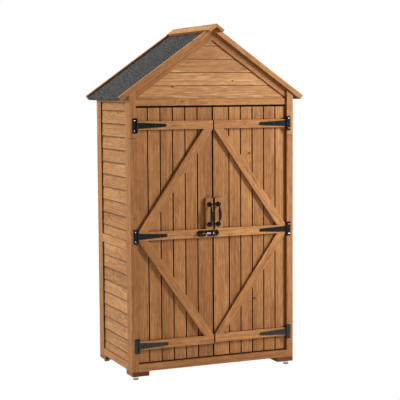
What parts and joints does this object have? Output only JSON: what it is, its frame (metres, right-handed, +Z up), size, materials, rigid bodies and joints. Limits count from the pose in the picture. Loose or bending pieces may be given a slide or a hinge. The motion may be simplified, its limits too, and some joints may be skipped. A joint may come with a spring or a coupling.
{
  "type": "wooden tool shed",
  "caption": "Narrow gabled garden tool shed of stained softwood boards with a felt roof, outward-opening ledged and braced double doors, strap hinges and a barrel bolt.",
  "frame": {"origin": "on the floor, at the middle of the width and of the whole length from the ridge cap's front end to the back of the roof", "axes": "+Z up; the doors face -Y; +X to the right seen from the front"},
  "size_m": [0.9, 0.5164, 1.585],
  "materials": {
    "stained_fir": "satin",
    "roof_felt": "rough",
    "black_iron": "satin",
    "bright_steel": "satin",
    "foot_plastic": "matte"
  },
  "bodies": {
    "root": {"front_posts": "stained_fir", "back_posts": "stained_fir", "left_side_stiles": "stained_fir", "right_side_stiles": "stained_fir", "left_side_rails": "stained_fir", "right_side_rails": "stained_fir", "left_side_boards": "stained_fir", "right_side_boards": "stained_fir", "back_rails": "stained_fir", "back_boards": "stained_fir", "front_header": "stained_fir", "front_sill": "stained_fir", "front_gable_rafters": "stained_fir", "back_gable_rafters": "stained_fir", "front_gable_boards": "stained_fir", "back_gable_boards": "stained_fir", "floor_joists": "stained_fir", "floor_boards": "stained_fir", "foot_blocks": "stained_fir", "foot_glides": "foot_plastic", "left_roof_panel": "stained_fir", "right_roof_panel": "stained_fir", "left_roof_felt": "roof_felt", "right_roof_felt": "roof_felt", "front_barge_boards": "stained_fir", "back_barge_boards": "stained_fir", "ridge_cap": "stained_fir", "hinge_plates": "black_iron"},
    "left_door": {"left_door_boards": "stained_fir", "left_door_rails": "stained_fir", "left_door_braces": "stained_fir", "left_handle_block": "stained_fir", "left_handle": "black_iron", "left_hinge_straps": "black_iron", "bolt_body": "black_iron"},
    "bolt": {"bolt_rod": "bright_steel"},
    "right_door": {"right_door_boards": "stained_fir", "right_door_rails": "stained_fir", "right_door_braces": "stained_fir", "right_handle_block": "stained_fir", "right_handle": "black_iron", "right_hinge_straps": "black_iron", "bolt_keeper": "black_iron"}
  },
  "joints": [
    {"name": "left_door_hinge", "type": "hinge", "parent": "root", "child": "left_door", "pos_m": [-0.3685, -0.22075, 0.6455], "axis": [0, 0, -1], "range_deg": [0, 170]},
    {"name": "right_door_hinge", "type": "hinge", "parent": "root", "child": "right_door", "pos_m": [0.3685, -0.22075, 0.6455], "axis": [0, 0, 1], "range_deg": [0, 170]},
    {"name": "bolt_slide", "type": "slide", "parent": "left_door", "child": "bolt", "axis": [1, 0, 0], "range_m": [0, 0.016]}
  ]
}
